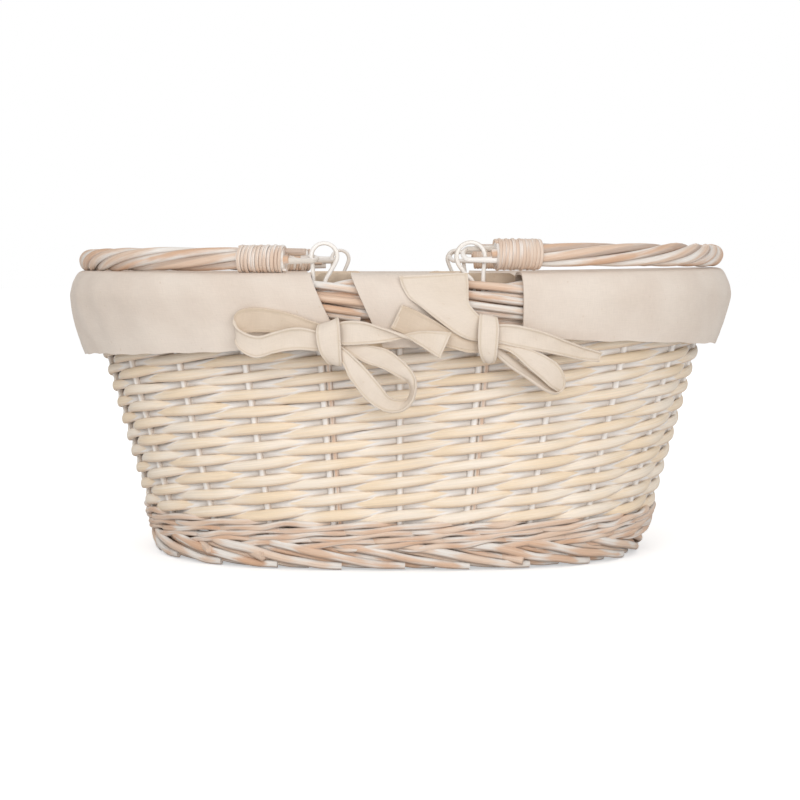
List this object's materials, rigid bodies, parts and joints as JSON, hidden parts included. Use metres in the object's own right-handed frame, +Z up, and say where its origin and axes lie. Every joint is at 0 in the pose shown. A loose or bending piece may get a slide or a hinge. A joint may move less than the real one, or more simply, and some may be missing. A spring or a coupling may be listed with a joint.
{
  "type": "oval willow basket with folding handles",
  "caption": "Oval woven willow basket with a tied cotton lining turned over the rim and two swing handles folded flat on it.",
  "frame": {"origin": "centre of the footprint, on the floor", "axes": "+X along the basket's length, -Y the front with the tied bows, +Z up"},
  "size_m": [0.45, 0.378, 0.2102],
  "materials": {
    "peeled_willow": "matte",
    "white_willow": "matte",
    "washed_willow": "matte",
    "cane": "satin",
    "cotton": "matte"
  },
  "bodies": {
    "basket": {"base_cross_stick_1": "white_willow", "base_cross_stick_2": "white_willow", "base_cross_stick_3": "white_willow", "base_cross_stick_4": "white_willow", "base_long_stick_1": "white_willow", "base_long_stick_2": "white_willow", "base_long_stick_3": "white_willow", "base_weave": "peeled_willow", "bottom_wale": "washed_willow", "bow_front_left": "cotton", "bow_front_right": "cotton", "bow_rear_left": "cotton", "bow_rear_right": "cotton", "collar_front": "cotton", "collar_left_end": "cotton", "collar_rear": "cotton", "collar_right_end": "cotton", "foot_border": "washed_willow", "lining_bag": "cotton", "rim_border": "washed_willow", "rim_ring_front_left": "cane", "rim_ring_front_right": "cane", "rim_ring_rear_left": "cane", "rim_ring_rear_right": "cane", "side_weave": "peeled_willow", "stake_01": "white_willow", "stake_02": "white_willow", "stake_03": "white_willow", "stake_04": "white_willow", "stake_05": "white_willow", "stake_06": "white_willow", "stake_07": "white_willow", "stake_08": "white_willow", "stake_09": "white_willow", "stake_10": "white_willow", "stake_11": "white_willow", "stake_12": "white_willow", "stake_13": "white_willow", "stake_14": "white_willow", "stake_15": "white_willow", "stake_16": "white_willow", "stake_17": "white_willow", "stake_18": "white_willow", "stake_19": "white_willow", "stake_20": "white_willow", "stake_21": "white_willow", "stake_22": "white_willow", "stake_23": "white_willow", "stake_24": "white_willow", "top_wale": "washed_willow"},
    "handle_left": {"handle_left_binding_front": "cane", "handle_left_binding_rear": "cane", "handle_left_eye_front": "cane", "handle_left_eye_rear": "cane", "handle_left_hoop": "washed_willow"},
    "handle_right": {"handle_right_binding_front": "cane", "handle_right_binding_rear": "cane", "handle_right_eye_front": "cane", "handle_right_eye_rear": "cane", "handle_right_hoop": "washed_willow"}
  },
  "joints": [
    {"name": "handle_left_swing", "type": "hinge", "parent": "basket", "child": "handle_left", "pos_m": [-0.0465, 0, 0.2], "axis": [0, 1, 0], "range_deg": [0, 100]},
    {"name": "handle_right_swing", "type": "hinge", "parent": "basket", "child": "handle_right", "pos_m": [0.0435, 0, 0.2], "axis": [0, -1, 0], "range_deg": [0, 100]}
  ]
}
